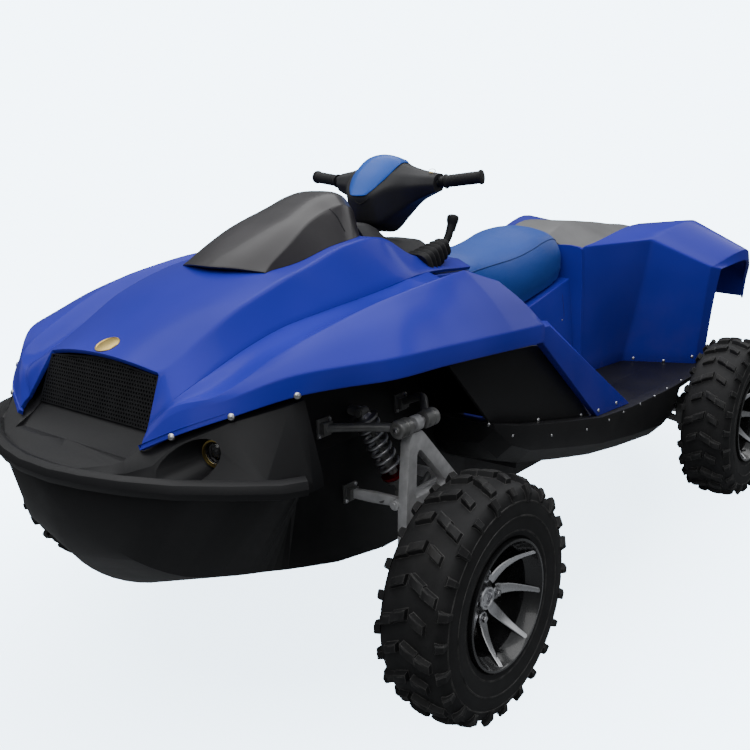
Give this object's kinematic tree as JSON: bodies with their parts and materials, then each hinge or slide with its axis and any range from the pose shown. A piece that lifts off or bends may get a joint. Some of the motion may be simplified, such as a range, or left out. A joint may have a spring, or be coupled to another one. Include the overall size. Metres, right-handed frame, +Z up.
{
  "type": "amphibious all-terrain vehicle",
  "caption": "Amphibious quad with a planing hull, blue skin panels, handlebar steering, coil sprung wheels and a steerable water jet.",
  "frame": {"origin": "on the ground below the middle of the wheelbase, on the centre plane", "axes": "+Z up, -Y forward, +X to the rider's left"},
  "size_m": [1.764, 3.2749, 1.3869],
  "materials": {
    "blue_paint": "high gloss blue gel coat",
    "cap_blue": "gloss",
    "seat_cover": "grained marine vinyl",
    "black_plastic": "satin moulded black",
    "grey_gloss": "satin dark grey",
    "cast_grey": "grey coated metal",
    "engine_block": "rough cast",
    "bright_metal": "machined",
    "rubber": "matt",
    "tyre": "matt, moulded lugs",
    "lamp": "clear lens over a reflector",
    "red_lamp": "red lens"
  },
  "bodies": {
    "chassis": {"bonnet": "blue_paint", "engine": "engine_block", "front_fender_left": "blue_paint", "front_fender_right": "blue_paint", "front_lower_arm_left": "cast_grey", "front_lower_arm_right": "cast_grey", "front_shock_left": "cast_grey", "front_shock_right": "cast_grey", "front_upper_arm_left": "cast_grey", "front_upper_arm_right": "cast_grey", "front_upright_left": "cast_grey", "front_upright_right": "cast_grey", "gear_lever": "rubber", "grille": "black_plastic", "headlamp_left": "lamp", "headlamp_right": "lamp", "hull": "black_plastic", "inner_body": "black_plastic", "jet_pump": "cast_grey", "nose_moulding": "black_plastic", "rear_arm_left": "cast_grey", "rear_arm_right": "cast_grey", "rear_cover": "grey_gloss", "rear_fender_left": "blue_paint", "rear_fender_right": "blue_paint", "seat": "seat_cover", "seat_base": "blue_paint", "side_hull_left": "black_plastic", "side_hull_right": "black_plastic", "side_panel_left": "black_plastic", "side_panel_right": "black_plastic", "steering_console": "grey_gloss", "tail_lamp_left": "red_lamp", "tail_lamp_right": "red_lamp"},
    "bars": {"handlebar": "black_plastic", "bar_pod": "grey_gloss", "pod_cap": "cap_blue"},
    "lid": {"storage_lid": "grey_gloss"},
    "impeller_shaft": {"impeller": "bright_metal"},
    "nozzle": {"jet_nozzle": "cast_grey"},
    "bucket": {"reverse_bucket": "cast_grey"},
    "knuckle_left": {"front_knuckle_left": "cast_grey"},
    "front_wheel_left": {"front_rim_left": "bright_metal", "front_tyre_left": "tyre"},
    "rear_wheel_left": {"rear_rim_left": "bright_metal", "rear_tyre_left": "tyre", "rear_half_shaft_left": "cast_grey"},
    "knuckle_right": {"front_knuckle_right": "cast_grey"},
    "front_wheel_right": {"front_rim_right": "bright_metal", "front_tyre_right": "tyre"},
    "rear_wheel_right": {"rear_rim_right": "bright_metal", "rear_tyre_right": "tyre", "rear_half_shaft_right": "cast_grey"}
  },
  "joints": [
    {"name": "steering", "type": "hinge", "parent": "chassis", "child": "bars", "pos_m": [0, -0.3, 1.27], "axis": [0, 0.4226, 0.9063], "range_deg": [-30, 30]},
    {"name": "knuckle_left_turn", "type": "hinge", "parent": "chassis", "child": "knuckle_left", "pos_m": [0.64, -0.9215, 0.3175], "axis": [0, 0, 1], "range_deg": [-21, 21]},
    {"name": "knuckle_right_turn", "type": "hinge", "parent": "chassis", "child": "knuckle_right", "pos_m": [-0.64, -0.9215, 0.3175], "axis": [0, 0, 1], "range_deg": [-21, 21]},
    {"name": "front_wheel_left_spin", "type": "hinge", "parent": "knuckle_left", "child": "front_wheel_left", "pos_m": [0.782, -0.9215, 0.3175], "axis": [1, 0, 0], "continuous": true},
    {"name": "rear_wheel_left_spin", "type": "hinge", "parent": "chassis", "child": "rear_wheel_left", "pos_m": [0.782, 0.9215, 0.3175], "axis": [1, 0, 0], "continuous": true},
    {"name": "front_wheel_right_spin", "type": "hinge", "parent": "knuckle_right", "child": "front_wheel_right", "pos_m": [-0.782, -0.9215, 0.3175], "axis": [1, 0, 0], "continuous": true},
    {"name": "rear_wheel_right_spin", "type": "hinge", "parent": "chassis", "child": "rear_wheel_right", "pos_m": [-0.782, 0.9215, 0.3175], "axis": [1, 0, 0], "continuous": true},
    {"name": "lid_hinge", "type": "hinge", "parent": "chassis", "child": "lid", "pos_m": [0, -1.045, 1.09], "axis": [1, 0, 0], "range_deg": [0, 55]},
    {"name": "impeller_spin", "type": "hinge", "parent": "chassis", "child": "impeller_shaft", "pos_m": [0, 1.287, 0.335], "axis": [0, 1, 0], "continuous": true},
    {"name": "nozzle_turn", "type": "hinge", "parent": "chassis", "child": "nozzle", "pos_m": [0, 1.535, 0.335], "axis": [0, 0, 1], "range_deg": [-20, 20]},
    {"name": "bucket_drop", "type": "hinge", "parent": "chassis", "child": "bucket", "pos_m": [0, 1.505, 0.335], "axis": [-1, 0, 0], "range_deg": [0, 60]}
  ],
  "couplings": [
    {"joint": "knuckle_left_turn", "follows": "steering", "ratio": 0.7},
    {"joint": "knuckle_right_turn", "follows": "steering", "ratio": 0.7},
    {"joint": "nozzle_turn", "follows": "steering", "ratio": -0.6666}
  ]
}
